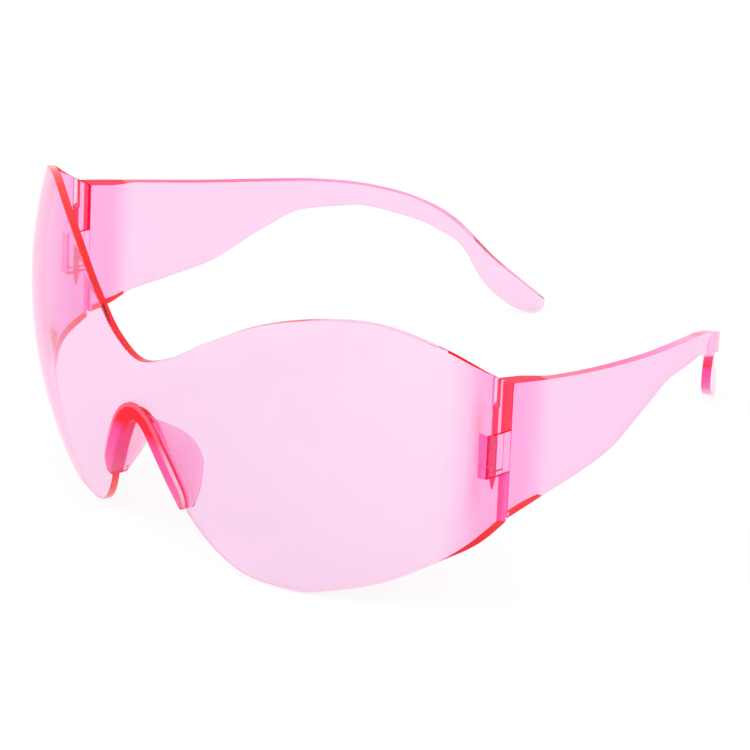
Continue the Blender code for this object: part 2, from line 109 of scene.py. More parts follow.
# Hinges and their screws
AXIS_SETBACK = 0.0032
AXIS_DEPTH = 0.0026
JOINT_GAP = 0.00035
SLOT_TOP = 0.0046
SLOT_BOTTOM = -0.0055
SLOT_REACH = 0.0032
KNUCKLE_REACH = 0.0025
KNUCKLE_ROUNDING_SHARE = 0.7
KNUCKLE_GAP = 0.00025
KNUCKLE_INSET = 0.00015
KNUCKLE_ROOT = 0.0014
KNUCKLE_EDGE = 0.0002
END_EDGE = 0.00012
SCREW_HEAD_TOP = 0.0108
SCREW_HEAD_HEIGHT = 0.0008
SCREW_HEAD_RADIUS = 0.00092
SCREW_SHANK_RADIUS = 0.00068
SCREW_LENGTH = 0.0194
SCREW_POINT_LENGTH = 0.0023
SCREW_POINT_RADIUS = 0.0001
SCREW_SLOT_WIDTH = 0.0003
SCREW_SLOT_DEPTH = 0.0003
SCREW_GAP = 0.0001
THREAD_PITCH = 0.00037
THREAD_DEPTH = 0.00013
THREAD_FOOT_SHARE = 0.42
THREAD_CREST_SHARE = 0.15
THREAD_SINK_SHARE = 0.9
THREAD_FROM_SHARE = 0.85

# Nose piece
SADDLE_LEG_LENGTH = 0.0234
SADDLE_GAP = 0.0003
SADDLE_WALL = 0.0010
SADDLE_GRIP = 0.0028
SADDLE_REAR_GRIP = 0.0015
SADDLE_FRONT_LIP = 0.0008
SADDLE_REAR_LIP = 0.0009
SADDLE_EDGE = 0.0004
PAD_REACH = 0.0104
PAD_THICKNESS = 0.0021
PAD_RIM_THICKNESS = 0.0013
PAD_FLARE_SHARE = 0.27
PAD_PLACES = (0.0, 0.12, 0.22, 0.32, 0.42, 0.58, 0.74, 0.87, 0.95, 1.0)
PAD_LEVELS = (0.34, 0.40, 0.63, 0.84, 0.96, 1.0, 0.84, 0.64, 0.46, 0.34)
GRIP_PLACES = (0.0, 0.8, 0.93, 1.0)
GRIP_LEVELS = (1.0, 1.0, 0.75, 0.40)
WALL_PLACES = (0.0, 0.65, 1.0)
WALL_LEVELS = (1.0, 1.0, 0.6)

# How the glasses stand: they lean forward onto the two lobes and the two temple tips
LEAN = radians(6.0188)
STAND_SHIFT = (0.0, -0.0711394, 0.0408745)
STANDING = Matrix.Translation(STAND_SHIFT) @ Matrix.Rotation(-LEAN, 4, "X")

# Fineness of the shown pieces
PATH_STEPS = 400
SHIELD_COLUMNS = (110, 60)
SHIELD_ROWS = 40
TEMPLE_COLUMNS = 190
TIP_COLUMNS = 8
TEMPLE_ROWS = 20
EDGE_STEPS = 4
END_EDGE_STEPS = 2
KNUCKLE_EDGE_STEPS = 3
SADDLE_STEPS = 44
SADDLE_ROUNDING_LEVELS = 2
ROUND_STEPS = 40
THREAD_STEPS = 16
CUT_OVERRUN = 0.002
SAME_LEVEL = 0.0001
SAME_PLACE = 0.000002
SAME_KNUCKLE_PLACE = 0.00001
SLIVER_WIDTH = 0.000002
STRAIGHT_ANGLE = radians(12)
END_CORNER_ANGLE = radians(40)
KNUCKLE_CORNER_ANGLE = 1.0
PLATE_SHARP_ANGLE = radians(30)
SCREW_SHARP_ANGLE = radians(35)
NOSE_SHARP_ANGLE = radians(50)

# Looks of a plate's faces, by their place in its list of materials: every look but CLEAR, and BORE on the
# temples, is a painted colour with a painted glow
CLEAR, RIM, UPPER_END, LOWER_END, BORE, RED_EDGE = range(6)

# How far a face's normal leans each way for its look, and how far the painted red wedge runs along the
# pad's ramp
INNER_FROM, INNER_TO = 0.1, 0.9
UPWARDS = 0.3
DOWNWARDS = 0.85
ENDWARDS = 0.5
KNUCKLE_RIM_FROM, KNUCKLE_RIM_TO = 0.3, 0.95
WEDGE_RAMP_SHARE = 0.6

# Dye and surface of the plastic
DYE = (1.0, 0.075, 0.70)
DYE_STRENGTH = 200.0
NOSE_DYE = (1.0, 0.10, 0.50)
NOSE_DYE_STRENGTH = 330.0
PLASTIC_IOR = 1.49
NOISE_LOW, NOISE_HIGH = 0.3, 0.7
TONE_SCALE, TONE_DETAIL = 90.0, 2.0
GRAIN_SCALE, GRAIN_DETAIL = 700.0, 3.0
GRAIN_LOW_SHARE, GRAIN_HIGH_SHARE = 0.7, 1.3
RIPPLE_SCALE, RIPPLE_DETAIL = 60.0, 2.0
RIPPLE_HEIGHT = 0.00002
RIPPLE_STRENGTH = 0.5

# Steel of the screws: its red-pink tones, which drift at random, and its glow are painted light from the
# pink plastic round it
STEEL_METAL_SHARE = 0.8
STEEL_SCALE, STEEL_DETAIL = 2500.0, 4.0
STEEL_SMOOTH, STEEL_ROUGH = 0.24, 0.42
STEEL_DARK, STEEL_LIGHT = (0.70, 0.04, 0.13), (0.98, 0.14, 0.30)
STEEL_PAINTED_GLOW = (0.24, 0.005, 0.045)

# Room and lamps: a lamp has a name, a place, a width and a power
FLOOR_RADIUS = 4.0
FLOOR_SIDES = 96
FLOOR_DROP = 0.0001
FLOOR_TONE = 0.22
FLOOR_GLOW = 0.82
ROOM_LIGHT, ROOM_SEEN = 0.75, 1.0
LAMP_TARGET = (0.0, 0.0, 0.02)
LAMPS = (("key", (-0.7, -0.9, 1.1), 0.7, 6.0), ("fill", (0.9, -0.3, 0.9), 0.8, 3.0))
LIGHT_BOUNCES = 40

# Camera: its way round and above the upright glasses, and how they were held before it
CAMERA_TURN = radians(49.48)
CAMERA_RISE = radians(24.22)
CAMERA_DISTANCE = 1.400
CAMERA_TO_RIGHT = 0.05138
CAMERA_UP = 0.00190
HELD = radians(2.96)
SENSOR_WIDTH = 36.0
FOCAL_PIXELS = 6491.6
PICTURE_PIXELS = 750
CLIP_START = 0.01


def curve_through(places, values, at):
    """Smooth curve through chosen points, without overshoot, read at the given places."""
    places = np.asarray(places, float)
    values = np.asarray(values, float)
    at = np.asarray(at, float)
    gaps = np.diff(places)
    slopes = np.diff(values) / gaps
    tangents = np.empty(len(places))
    tangents[1:-1] = (slopes[:-1] * gaps[1:] + slopes[1:] * gaps[:-1]) / (gaps[:-1] + gaps[1:])
    steepest = 3 * np.minimum(abs(slopes[:-1]), abs(slopes[1:]))
    turning = slopes[:-1] * slopes[1:] <= 0
    tangents[1:-1] = np.where(turning, 0, np.clip(tangents[1:-1], -steepest, steepest))
    tangents[0] = 1.5 * slopes[0] - 0.5 * tangents[1]
    tangents[-1] = 1.5 * slopes[-1] - 0.5 * tangents[-2]
    i = np.clip(np.searchsorted(places, at, side="right") - 1, 0, len(gaps) - 1)
    t = (at - places[i]) / gaps[i]
    return (
        (1 + 2 * t) * (1 - t) ** 2 * values[i]
        + t * (1 - t) ** 2 * gaps[i] * tangents[i]
        + t * t * (3 - 2 * t) * values[i + 1]
        + t * t * (t - 1) * gaps[i] * tangents[i + 1]
    )


def even_curve(places, values, at):
    """The curve through points that are given for the left half and repeated on the right."""
    both_places = [-place for place in places[:0:-1]] + list(places)
    both_values = list(values[:0:-1]) + list(values)
    return curve_through(both_places, both_values, at)


def ease(share):
    """A smooth rise from 0 to 1."""
    share = np.clip(share, 0.0, 1.0)
    return share * share * (3 - 2 * share)


def walk(arcs, headings, start):
    """Places along a path in plan, from its headings."""
    steps = np.diff(arcs)
    along_x = (np.cos(headings[1:]) + np.cos(headings[:-1])) / 2 * steps
    along_y = (np.sin(headings[1:]) + np.sin(headings[:-1])) / 2 * steps
    x = start[0] + np.concatenate(([0.0], np.cumsum(along_x)))
    y = start[1] + np.concatenate(([0.0], np.cumsum(along_y)))
    return x, y


# The shield's plan


def shield_plan():
    """Arc lengths, places and headings of the shield's outer face, from its middle to one end."""
    arcs = np.linspace(0.0, HALF_ARC, PATH_STEPS)
    into_corner = 1 / (1 + np.exp((FRONT_ARC_LENGTH - arcs) / CORNER_BLEND_LENGTH))
    into_side = 1 / (1 + np.exp((FRONT_ARC_LENGTH + CORNER_ARC_LENGTH - arcs) / CORNER_BLEND_LENGTH))
    bends = (
        (1 - into_corner) / FRONT_RADIUS
        + into_corner * (1 - into_side) / CORNER_RADIUS
        + into_side / SIDE_RADIUS
    )
    turned = np.concatenate(([0.0], np.cumsum((bends[1:] + bends[:-1]) / 2 * np.diff(arcs))))
    x, y = walk(arcs, turned, (0.0, 0.0))
    return arcs, x, y, turned


PLAN_ARCS, PLAN_X, PLAN_Y, PLAN_TURNED = shield_plan()


def shield_point(arc, height, depth):
    """A point of the shield: arc from its middle (left positive), height, depth behind the outer face."""
    away = abs(arc)
    side = 1.0 if arc >= 0 else -1.0
    turned = np.interp(away, PLAN_ARCS, PLAN_TURNED)
    dome = DOME_RADIUS - np.sqrt(DOME_RADIUS**2 - height**2)
    flat = ease((away - (HALF_ARC - DOME_FLAT - DOME_FADE)) / DOME_FADE)
    inward = depth + dome * (1 - flat) + END_DRAW_IN * flat
    x = np.interp(away, PLAN_ARCS, PLAN_X) - inward * sin(turned)
    y = np.interp(away, PLAN_ARCS, PLAN_Y) + inward * cos(turned)
    return Vector((side * x, y, height))


def lower_line(arcs):
    """Height of the shield's lower edge, with the nose notch and the two lobes."""
    return -LOBE_DEPTH * even_curve(LOWER_PLACES, LOWER_LEVELS, np.asarray(arcs) / HALF_ARC)


def brow_line(arcs):
    """Height of the shield's upper edge."""
    return BROW_HEIGHT * even_curve(BROW_PLACES, BROW_LEVELS, np.asarray(arcs) / HALF_ARC)


def shield_wall(arcs):
    """Thickness: even over the front, thick at the hinge ends, whose inner corner is cut back."""
    away = abs(np.asarray(arcs))
    grown = ease((away - (HALF_ARC - HINGE_PAD_LENGTH - HINGE_PAD_RAMP)) / HINGE_PAD_RAMP)
    wall = SHIELD_THICKNESS + (HINGE_THICKNESS - SHIELD_THICKNESS) * grown
    into_chamfer = np.maximum(0.0, away - (HALF_ARC - END_CHAMFER_LENGTH))
    return wall - into_chamfer * END_CHAMFER_DEPTH / END_CHAMFER_LENGTH


# The hinge's place, on the wearer's left

END_TURN = float(PLAN_TURNED[-1])
END_BACK = Vector((cos(END_TURN), sin(END_TURN), 0.0))
END_INWARD = Vector((-sin(END_TURN), cos(END_TURN), 0.0))
END_FACE = shield_point(HALF_ARC, 0.0, 0.0)
AXIS_PLACE = END_FACE - END_BACK * AXIS_SETBACK + END_INWARD * AXIS_DEPTH
HINGE = Matrix((END_BACK, END_INWARD, Vector((0.0, 0.0, 1.0)))).transposed().to_4x4()
HINGE.translation = AXIS_PLACE


# Looks


def colour(tone):
    """The tone as a colour socket takes it."""
    return (*tone, 1.0)


def shader_of(material):
    material.use_nodes = True
    return material.node_tree.nodes["Principled BSDF"]


def add_node(material, kind):
    return material.node_tree.nodes.new(kind)


def link(material, source, output, target, entry):
    material.node_tree.links.new(source.outputs[output], target.inputs[entry])


def object_noise(material, scale, detail):
    """Noise that is fixed to the piece."""
    place = add_node(material, "ShaderNodeTexCoord")
    noise = add_node(material, "ShaderNodeTexNoise")
    noise.inputs["Scale"].default_value = scale
    noise.inputs["Detail"].default_value = detail
    link(material, place, "Object", noise, "Vector")
    return noise


def roughened(material, noise, low, high):
    """A roughness that drifts with the noise."""
    spread = add_node(material, "ShaderNodeMapRange")
    spread.inputs["From Min"].default_value = NOISE_LOW
    spread.inputs["From Max"].default_value = NOISE_HIGH
    spread.inputs["To Min"].default_value = low
    spread.inputs["To Max"].default_value = high
    link(material, noise, "Fac", spread, "Value")
    link(material, spread, "Result", shader_of(material), "Roughness")


def tinted(material, noise, low, high):
    """A colour that drifts with the noise between two near tones."""
    ramp = add_node(material, "ShaderNodeValToRGB")
    stops = ramp.color_ramp.elements
    stops[0].position = NOISE_LOW
    stops[0].color = colour(low)
    stops[1].position = NOISE_HIGH
    stops[1].color = colour(high)
    link(material, noise, "Fac", ramp, "Fac")
    link(material, ramp, "Color", shader_of(material), "Base Color")


def graded(material, axis, tones):
    """A colour that changes along one axis, from (place, tone) pairs."""
    place = add_node(material, "ShaderNodeTexCoord")
    split = add_node(material, "ShaderNodeSeparateXYZ")
    spread = add_node(material, "ShaderNodeMapRange")
    ramp = add_node(material, "ShaderNodeValToRGB")
    lowest, highest = tones[0][0], tones[-1][0]
    spread.inputs["From Min"].default_value = lowest
    spread.inputs["From Max"].default_value = highest
    stops = ramp.color_ramp.elements
    for height, tone in tones[1:-1]:
        stops.new((height - lowest) / (highest - lowest)).color = colour(tone)
    stops[0].color = colour(tones[0][1])
    stops[len(stops) - 1].color = colour(tones[-1][1])
    link(material, place, "Object", split, "Vector")
    link(material, split, axis, spread, "Value")
    link(material, spread, "Result", ramp, "Fac")
    link(material, ramp, "Color", shader_of(material), "Base Color")


def rippled(material):
    """The faint waviness that moulded plastic keeps."""
    noise = object_noise(material, RIPPLE_SCALE, RIPPLE_DETAIL)
    bump = add_node(material, "ShaderNodeBump")
    bump.inputs["Strength"].default_value = RIPPLE_STRENGTH
    bump.inputs["Distance"].default_value = RIPPLE_HEIGHT
    link(material, noise, "Fac", bump, "Height")
    link(material, bump, "Normal", shader_of(material), "Normal")


def add_painted_glow(material, glow):
    """A small even painted glow of this tone, though the surface is no lamp."""
    shader = shader_of(material)
    shader.inputs["Emission Color"].default_value = colour(glow)
    shader.inputs["Emission Strength"].default_value = 1.0


def dyed_plastic_with_painted_glow(name, roughness, dye=DYE, strength=DYE_STRENGTH, clear=1.0, glow=None):
    """Plastic that takes its colour from the depth of plastic that light crosses, and, where it is less
    clear, from a painted base colour.

    The glow is a painted glow, standing in for the light that the sheet gathers inside and lets out at an
    edge or a cut.
    """
    material = bpy.data.materials.new(name)
    shader = shader_of(material)
    shader.inputs["IOR"].default_value = PLASTIC_IOR
    shader.inputs["Transmission Weight"].default_value = clear
    if glow:
        shader.inputs["Specular IOR Level"].default_value = 0.0
        add_painted_glow(material, glow)
    grain = object_noise(material, GRAIN_SCALE, GRAIN_DETAIL)
    roughened(material, grain, roughness * GRAIN_LOW_SHARE, roughness * GRAIN_HIGH_SHARE)
    rippled(material)
    volume = add_node(material, "ShaderNodeVolumeAbsorption")
    volume.inputs["Color"].default_value = colour(dye)
    volume.inputs["Density"].default_value = strength
    link(material, volume, "Volume", material.node_tree.nodes["Material Output"], "Volume")
    return material


def drifting(material, low, high):
    """Gives the plastic a base colour between two near tones."""
    tinted(material, object_noise(material, TONE_SCALE, TONE_DETAIL), low, high)


def turned_steel(name):
    """Screw steel with a fine grain, with painted red-pink tones and a painted glow for the light of the
    plastic round it.
    """
    material = bpy.data.materials.new(name)
    shader_of(material).inputs["Metallic"].default_value = STEEL_METAL_SHARE
    add_painted_glow(material, STEEL_PAINTED_GLOW)
    noise = object_noise(material, STEEL_SCALE, STEEL_DETAIL)
    tinted(material, noise, STEEL_DARK, STEEL_LIGHT)
    roughened(material, noise, STEEL_SMOOTH, STEEL_ROUGH)
    return material


# Shield and temples: the clear sheet
pink_plastic = dyed_plastic_with_painted_glow("pink_plastic", roughness=0.02)
drifting(pink_plastic, (0.955, 0.985, 0.99), (0.975, 0.995, 1.0))

# Shield's upper rim, the lower rims beside the hinges and the edges of the knuckles: opaque painted red
# with a painted glow, standing in for the light that the sheet guides inside and lets out at its edges
pink_rim_painted_glow = dyed_plastic_with_painted_glow("pink_rim_painted_glow", roughness=0.2, clear=0.0, glow=(0.30, 0.001, 0.002))
drifting(pink_rim_painted_glow, (1.0, 0.008, 0.012), (1.0, 0.02, 0.03))

# Temples' upper rim, from the hinge back: painted tones and a painted glow for the light that the sheet
# guides inside and lets out at its edge, deepest red at the hinge and paler pink towards the back
TEMPLE_RIM_PAINTED_TONES = (
    (-0.035, (0.60, 0.02, 0.04)),
    (0.0, (0.45, 0.02, 0.06)),
    (0.025, (0.66, 0.03, 0.18)),
    (0.05, (0.92, 0.18, 0.5)),
    (0.07, (0.95, 0.4, 0.75)),
)
temple_rim_painted_glow = dyed_plastic_with_painted_glow("temple_rim_painted_glow", roughness=0.2, clear=0.3, glow=(0.36, 0.008, 0.05))
graded(temple_rim_painted_glow, "Y", TEMPLE_RIM_PAINTED_TONES)

# Hinge ends, above: painted red with a painted glow, for the light that the sheet lets out at its cut end
cut_end_painted_glow = dyed_plastic_with_painted_glow("cut_end_painted_glow", roughness=0.30, clear=0.1, glow=(0.45, 0.004, 0.05))
drifting(cut_end_painted_glow, (1.0, 0.010, 0.05), (1.0, 0.02, 0.09))

# Hinge ends, below, and the front wall of the slots: painted hot pink with a painted glow, for the light
# that the sheet lets out there
low_end_painted_glow = dyed_plastic_with_painted_glow("low_end_painted_glow", roughness=0.30, clear=0.4, glow=(0.45, 0.05, 0.22))
drifting(low_end_painted_glow, (1.0, 0.10, 0.42), (1.0, 0.16, 0.50))

# Holes for the screws, in the shield: painted red with a painted glow, for the light that the plastic lets
# out at the hole's wall
bore_wall_painted_glow = dyed_plastic_with_painted_glow("bore_wall_painted_glow", roughness=0.15, clear=0.55, glow=(0.26, 0.004, 0.05))
drifting(bore_wall_painted_glow, (0.85, 0.02, 0.12), (0.95, 0.05, 0.20))

# Nose piece
nose_plastic = dyed_plastic_with_painted_glow("nose_plastic", roughness=0.03, dye=NOSE_DYE, strength=NOSE_DYE_STRENGTH)
drifting(nose_plastic, (1.0, 0.78, 0.92), (1.0, 0.86, 0.96))

# Nose piece's front, from the foot of a leg up to the arch: painted tones and a painted glow for the light
# that the thick plastic there guides and lets out, red at the foot and the arch, hot pink between
NOSE_FRONT_PAINTED_TONES = (
    (0.0140, (1.0, 0.03, 0.10)),
    (0.0160, (1.0, 0.45, 0.88)),
    (0.020, (1.0, 0.28, 0.85)),
    (0.0275, (1.0, 0.16, 0.72)),
    (0.0310, (1.0, 0.005, 0.01)),
)
nose_front_painted_glow = dyed_plastic_with_painted_glow("nose_front_painted_glow", roughness=0.06, dye=NOSE_DYE, clear=0.35, glow=(0.30, 0.004, 0.02))
graded(nose_front_painted_glow, "Z", NOSE_FRONT_PAINTED_TONES)

# Far edges of the nose pads: a painted dark magenta outline, for the shade that refraction gives at the
# pads' edges, with a painted glow
nose_edge_painted_outline = dyed_plastic_with_painted_glow("nose_edge_painted_outline", roughness=0.10, dye=NOSE_DYE, clear=0.4, glow=(0.30, 0.004, 0.05))
drifting(nose_edge_painted_outline, (0.80, 0.03, 0.18), (0.90, 0.06, 0.30))

# Ridge round the nose piece's front, from the foot of a leg up to the arch: a painted highlight, pale along
# the leg and red at the foot and the arch, with a painted glow
NOSE_RIDGE_HIGHLIGHT_TONES = (
    (0.0140, (1.0, 0.10, 0.20)),
    (0.0165, (1.0, 0.85, 0.95)),
    (0.0250, (1.0, 0.70, 0.88)),
    (0.0300, (1.0, 0.03, 0.08)),
)
nose_ridge_painted_highlight = dyed_plastic_with_painted_glow("nose_ridge_painted_highlight", roughness=0.10, dye=NOSE_DYE, clear=0.3, glow=(0.25, 0.10, 0.17))
graded(nose_ridge_painted_highlight, "Z", NOSE_RIDGE_HIGHLIGHT_TONES)

# Screws: steel with painted red-pink tones and a painted glow
steel = turned_steel("screw_steel_painted_glow")

SHIELD_LOOKS = (pink_plastic, pink_rim_painted_glow, cut_end_painted_glow, low_end_painted_glow, bore_wall_painted_glow, pink_rim_painted_glow)
TEMPLE_LOOKS = (pink_plastic, temple_rim_painted_glow, cut_end_painted_glow, low_end_painted_glow, pink_plastic, pink_rim_painted_glow)
NOSE_LOOKS = (nose_plastic, nose_front_painted_glow, nose_edge_painted_outline, nose_ridge_painted_highlight)


# Making pieces


def piece_of(name, bm, looks):
    """A piece at the origin with this shape and these materials."""
    mesh = bpy.data.meshes.new(name)
    bm.to_mesh(mesh)
    bm.free()
    for look in looks:
        mesh.materials.append(look)
    piece = bpy.data.objects.new(name, mesh)
    bpy.context.scene.collection.objects.link(piece)
    return piece


def settle(piece):
    """Applies the piece's modifiers to its mesh."""
    bpy.context.view_layer.update()
    seen = piece.evaluated_get(bpy.context.evaluated_depsgraph_get())
    made = bpy.data.meshes.new_from_object(seen)
    piece.modifiers.clear()
    old = piece.data
    piece.data = made
    bpy.data.meshes.remove(old)


def combine(piece, tool, operation):
    """Joins the tool to the piece or cuts it out.

    The tool's faces keep their look, or take the piece's look of the same number where it lacks theirs.
    """
    modifier = piece.modifiers.new(tool.name, "BOOLEAN")
    modifier.operation = operation
    modifier.solver = "EXACT"
    modifier.object = tool
    settle(piece)
    bpy.data.objects.remove(tool)


def drop_slivers(piece):
    """Removes the points that cuts leave on nearly straight edges, and faces without width."""
    bm = bmesh.new()
    bm.from_mesh(piece.data)
    loose = [v for v in bm.verts if len(v.link_edges) == 2 and v.calc_edge_angle(0.0) < STRAIGHT_ANGLE]
    bmesh.ops.dissolve_verts(bm, verts=loose)
    bmesh.ops.dissolve_degenerate(bm, dist=SLIVER_WIDTH, edges=bm.edges)
    bm.to_mesh(piece.data)
    bm.free()


def smooth(piece, angle):
    """Smooth faces, crisp corners, and normals that follow the large faces."""
    piece.data.shade_smooth()
    piece.data.set_sharp_from_angle(angle=angle)
    even = piece.modifiers.new("even_normals", "WEIGHTED_NORMAL")
    even.keep_sharp = True
    settle(piece)


def stand(piece):
    """Drops slivers, leans the piece as the glasses stand, and keeps it within the reach of the solids."""
    drop_slivers(piece)
    piece.data.transform(STANDING)
    for vertex in piece.data.vertices:
        vertex.co = Vector(np.clip(vertex.co, *cad_box))
    piece.data.update()


def put(piece, body, node):
    """Lets the piece ride on a body in place of a node."""
    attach(piece, body)
    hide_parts(node)


def flipped(bm):
    """The same shape mirrored to the wearer's right."""
    bmesh.ops.scale(bm, vec=(-1.0, 1.0, 1.0), verts=bm.verts)
    bmesh.ops.reverse_faces(bm, faces=bm.faces)
    return bm


def on_side(bm, side):
    """The shape for the wearer's left (1) or right (-1)."""
    return bm if side > 0 else flipped(bm)


def at_hinge(bm):
    """Moves a shape from hinge places (towards the back, inwards, up) to the left hinge."""
    bmesh.ops.transform(bm, matrix=HINGE, verts=bm.verts)
    return bm


def plate(columns, rows, spread, long_edge, is_end, is_thick):
    """A flat closed plate of arc, height and depth, its long edges rounded.

    Parts of its rim and its hinge ends get painted colours and painted glows of their own, and all the rest
    is clear.
    """
    bm = bmesh.new()
    bmesh.ops.create_grid(bm, x_segments=columns, y_segments=rows, size=1.0)
    whole = bm.verts[:] + bm.edges[:] + bm.faces[:]
    made = bmesh.ops.extrude_face_region(bm, geom=whole, use_keep_orig=True)
    for item in made["geom"]:
        if isinstance(item, bmesh.types.BMVert):
            item.co.z = 1.0
    long_edges = [e for e in bm.edges if is_long(e)]
    for vertex in bm.verts:
        vertex.co = spread(vertex.co)
    bmesh.ops.recalc_face_normals(bm, faces=bm.faces)
    bmesh.ops.bevel(
        bm, geom=long_edges, offset=long_edge, segments=EDGE_STEPS, profile=0.5, affect="EDGES",
        material=-1, clamp_overlap=True,
    )
    ends = [e for e in bm.edges if e.calc_face_angle(0.0) > END_CORNER_ANGLE]
    bmesh.ops.bevel(
        bm, geom=ends, offset=END_EDGE, segments=END_EDGE_STEPS, profile=0.5, affect="EDGES",
        material=-1, clamp_overlap=True,
    )
    bm.normal_update()
    for face in bm.faces:
        face.material_index = plate_look(face, is_end, is_thick)
    return bm


def plate_look(face, is_end, is_thick):
    """The look of one face of a flat plate, where x runs along the arc, y up and z inwards."""
    normal, middle = face.normal, face.calc_center_median()
    if is_end(normal, middle):
        return UPPER_END if middle.y > 0 else LOWER_END
    if normal.y < -DOWNWARDS and is_thick(middle):
        return RED_EDGE
    inner_half = INNER_FROM < normal.z < INNER_TO
    whole_rim = abs(normal.z) < INNER_FROM and is_thick(middle)
    return RIM if normal.y > UPWARDS and (inner_half or whole_rim) else CLEAR


def is_long(edge):
    """True for the plate's upper and lower edges, in front and behind."""
    near, far = edge.verts
    level = abs(near.co.y - far.co.y) < SAME_LEVEL and abs(near.co.z - far.co.z) < SAME_LEVEL
    return level and abs(abs(near.co.y) - 1.0) < SAME_LEVEL


def along(x, stations):
    """The station at a grid place from -1 to 1."""
    return float(np.interp((x + 1) / 2 * (len(stations) - 1), np.arange(len(stations)), stations))


# Shield


def shield_plate():
    """The shield before its slots and bores are cut."""
    front, corner = SHIELD_COLUMNS
    turn = FRONT_ARC_LENGTH - CORNER_BLEND_LENGTH
    side = np.concatenate(
        (
            np.linspace(0.0, turn, front + 1),
            np.linspace(turn, HALF_ARC - END_CHAMFER_LENGTH, corner + 1)[1:],
            [HALF_ARC],
        )
    )
    arcs = np.concatenate((-side[:0:-1], side))
    lows, tops, walls = lower_line(arcs), brow_line(arcs), shield_wall(arcs)

    def spread(place):
        low, top = along(place.x, lows), along(place.x, tops)
        height = low + (top - low) * (place.y + 1) / 2
        return Vector((along(place.x, arcs), height, place.z * along(place.x, walls)))

    def is_end(normal, middle):
        return abs(normal.x) > ENDWARDS and abs(middle.x) > HALF_ARC - HINGE_PAD_LENGTH

    def is_thick(middle):
        return abs(middle.x) > FRONT_ARC_LENGTH

    bm = plate(len(arcs) - 1, SHIELD_ROWS, spread, SHIELD_EDGE, is_end, is_thick)
    for vertex in bm.verts:
        vertex.co = shield_point(vertex.co.x, vertex.co.y, vertex.co.z)
    bmesh.ops.recalc_face_normals(bm, faces=bm.faces)
    return bm


def box(low, high):
    bm = bmesh.new()
    bmesh.ops.create_cube(bm, size=1.0)
    size = Vector(high) - Vector(low)
    bmesh.ops.scale(bm, vec=size, verts=bm.verts)
    bmesh.ops.translate(bm, vec=(Vector(low) + Vector(high)) / 2, verts=bm.verts)
    return bm


def slot_cutter(side):
    """The slot that the temple's knuckle fills."""
    low = (-SLOT_REACH, -AXIS_DEPTH - CUT_OVERRUN, SLOT_BOTTOM)
    high = (AXIS_SETBACK + CUT_OVERRUN, HINGE_THICKNESS - AXIS_DEPTH + CUT_OVERRUN, SLOT_TOP)
    bm = box(low, high)
    bm.normal_update()
    for face in bm.faces:
        # The slot's front wall takes the painted hot pink glow of the lower hinge ends
        face.material_index = LOWER_END if face.normal.x < -ENDWARDS else CLEAR
    return piece_of("slot_cutter", on_side(at_hinge(bm), side), SHIELD_LOOKS)


def turned_body(profile, steps):
    """A closed round body about the upright axis, from (radius, height) pairs that end on the axis."""
    bm = bmesh.new()
    line = [bm.verts.new((radius, 0.0, height)) for radius, height in profile]
    edges = [bm.edges.new(pair) for pair in zip(line, line[1:])]
    bmesh.ops.spin(
        bm, geom=line + edges, cent=(0, 0, 0), axis=(0, 0, 1), angle=2 * pi, steps=steps, use_merge=True,
    )
    bmesh.ops.remove_doubles(bm, verts=bm.verts, dist=SAME_PLACE)
    bmesh.ops.recalc_face_normals(bm, faces=bm.faces)
    return bm


def bore_cutter(side):
    """The counterbore for the head and the hole for the shank, which ends in a point."""
    shank = SCREW_SHANK_RADIUS + SCREW_GAP
    head = SCREW_HEAD_RADIUS + SCREW_GAP
    seat = SCREW_HEAD_TOP - SCREW_HEAD_HEIGHT - SCREW_GAP
    point = SCREW_HEAD_TOP - SCREW_LENGTH - SCREW_GAP
    profile = [
        (0.0, BROW_HEIGHT), (head, BROW_HEIGHT), (head, seat + head - shank), (shank, seat),
        (shank, point + SCREW_POINT_LENGTH), (SCREW_POINT_RADIUS + SCREW_GAP, point), (0.0, point),
    ]
    bm = turned_body(profile, ROUND_STEPS)
    bmesh.ops.translate(bm, vec=(AXIS_PLACE.x, AXIS_PLACE.y, 0.0), verts=bm.verts)
    for face in bm.faces:
        face.smooth = True
        # The bore's wall below the head's seat takes the painted red glow
        face.material_index = BORE if face.calc_center_median().z < seat + head - shank else CLEAR
    return piece_of("bore_cutter", on_side(bm, side), SHIELD_LOOKS)


def make_shield():
    shield = piece_of("clear_shield", shield_plate(), SHIELD_LOOKS)
    for side in (1, -1):
        combine(shield, slot_cutter(side), "DIFFERENCE")
        combine(shield, bore_cutter(side), "DIFFERENCE")
    stand(shield)
    smooth(shield, PLATE_SHARP_ANGLE)
    put(shield, "front", "shield_lens")


# Temples


